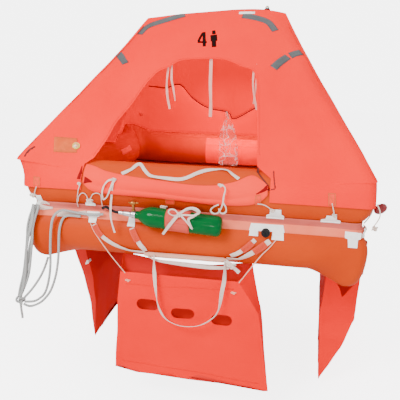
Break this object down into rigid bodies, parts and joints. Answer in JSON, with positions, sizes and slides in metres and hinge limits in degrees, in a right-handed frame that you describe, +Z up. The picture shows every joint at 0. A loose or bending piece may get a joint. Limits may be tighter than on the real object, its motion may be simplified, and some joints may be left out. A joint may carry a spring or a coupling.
{
  "type": "life raft",
  "caption": "Inflatable square life raft with stacked buoyancy tubes, an arched tent canopy with a front entrance, ballast pockets, a gas cylinder and a boarding ladder.",
  "frame": {"origin": "middle of the raft in plan, on the waterline of the empty raft, 35 mm above the lowest line of the lower tube's straight sides", "axes": "+Z up out of the water, -Y out of the entrance, +X to the right for a person who looks in through the entrance"},
  "size_m": [1.896, 1.8091, 2.1388],
  "materials": {
    "tube_orange": "satin rubber-coated cloth",
    "tent_salmon": "coated canopy cloth",
    "pocket_red": "thin coated cloth",
    "floor_black": "matte",
    "seam_tape": "matte tape",
    "webbing_white": "woven webbing",
    "cord_pink": "cord",
    "cylinder_green": "gloss paint",
    "head_silver": "plated",
    "valve_brass": "cast",
    "hose_black": "satin",
    "strap_salmon": "coated cloth",
    "strap_brown": "woven webbing",
    "rope_grey": "laid rope",
    "cap_black": "moulded",
    "lamp_yellow": "moulded lens",
    "quoit_red": "matte foam rubber",
    "bag_clear": "clear film"
  },
  "bodies": {
    "root": {"lower_tube": "tube_orange", "upper_tube": "tube_orange", "arch_tube": "tube_orange", "floor": "floor_black", "canopy": "tent_salmon", "door_flap": "tent_salmon", "pocket_front": "pocket_red", "pocket_right": "pocket_red", "pocket_rear": "pocket_red", "pocket_left": "pocket_red", "seam_band": "seam_tape", "patch_1": "webbing_white", "patch_2": "webbing_white", "patch_3": "webbing_white", "patch_4": "webbing_white", "patch_5": "webbing_white", "patch_6": "webbing_white", "gas_cylinder": "cylinder_green", "cylinder_head": "head_silver", "firing_valve": "valve_brass", "inflation_hose": "hose_black", "cylinder_strap": "strap_salmon", "ladder_rung": "webbing_white", "ladder_step": "webbing_white", "ladder_strap_left_outer": "webbing_white", "ladder_strap_left_inner": "webbing_white", "ladder_strap_right_inner": "webbing_white", "ladder_strap_right_outer": "webbing_white", "pocket_cord_left": "cord_pink", "pocket_cord_right": "cord_pink", "patch_7": "webbing_white", "patch_8": "webbing_white", "patch_9": "webbing_white", "valve_cap": "cap_black", "boarding_line": "webbing_white", "flap_ribbon": "webbing_white", "canopy_tie_left": "webbing_white", "canopy_tie_right": "webbing_white", "hem_lacing": "webbing_white", "cylinder_ribbon": "webbing_white", "quoit": "quoit_red", "quoit_cord": "webbing_white", "side_webbing": "strap_brown", "painter_hank": "rope_grey", "painter_loop_outer": "rope_grey", "painter_loop_inner": "rope_grey", "painter_loop_under": "rope_grey", "painter_knot": "rope_grey", "painter_tail": "rope_grey", "inner_curtain": "tent_salmon", "inner_ribbon_left": "webbing_white", "inner_ribbon_middle": "webbing_white", "inner_ribbon_right": "webbing_white", "kit_bag": "bag_clear", "wall_pocket": "tent_salmon", "top_lamp": "cap_black", "side_lamp": "lamp_yellow"}
  },
  "joints": []
}
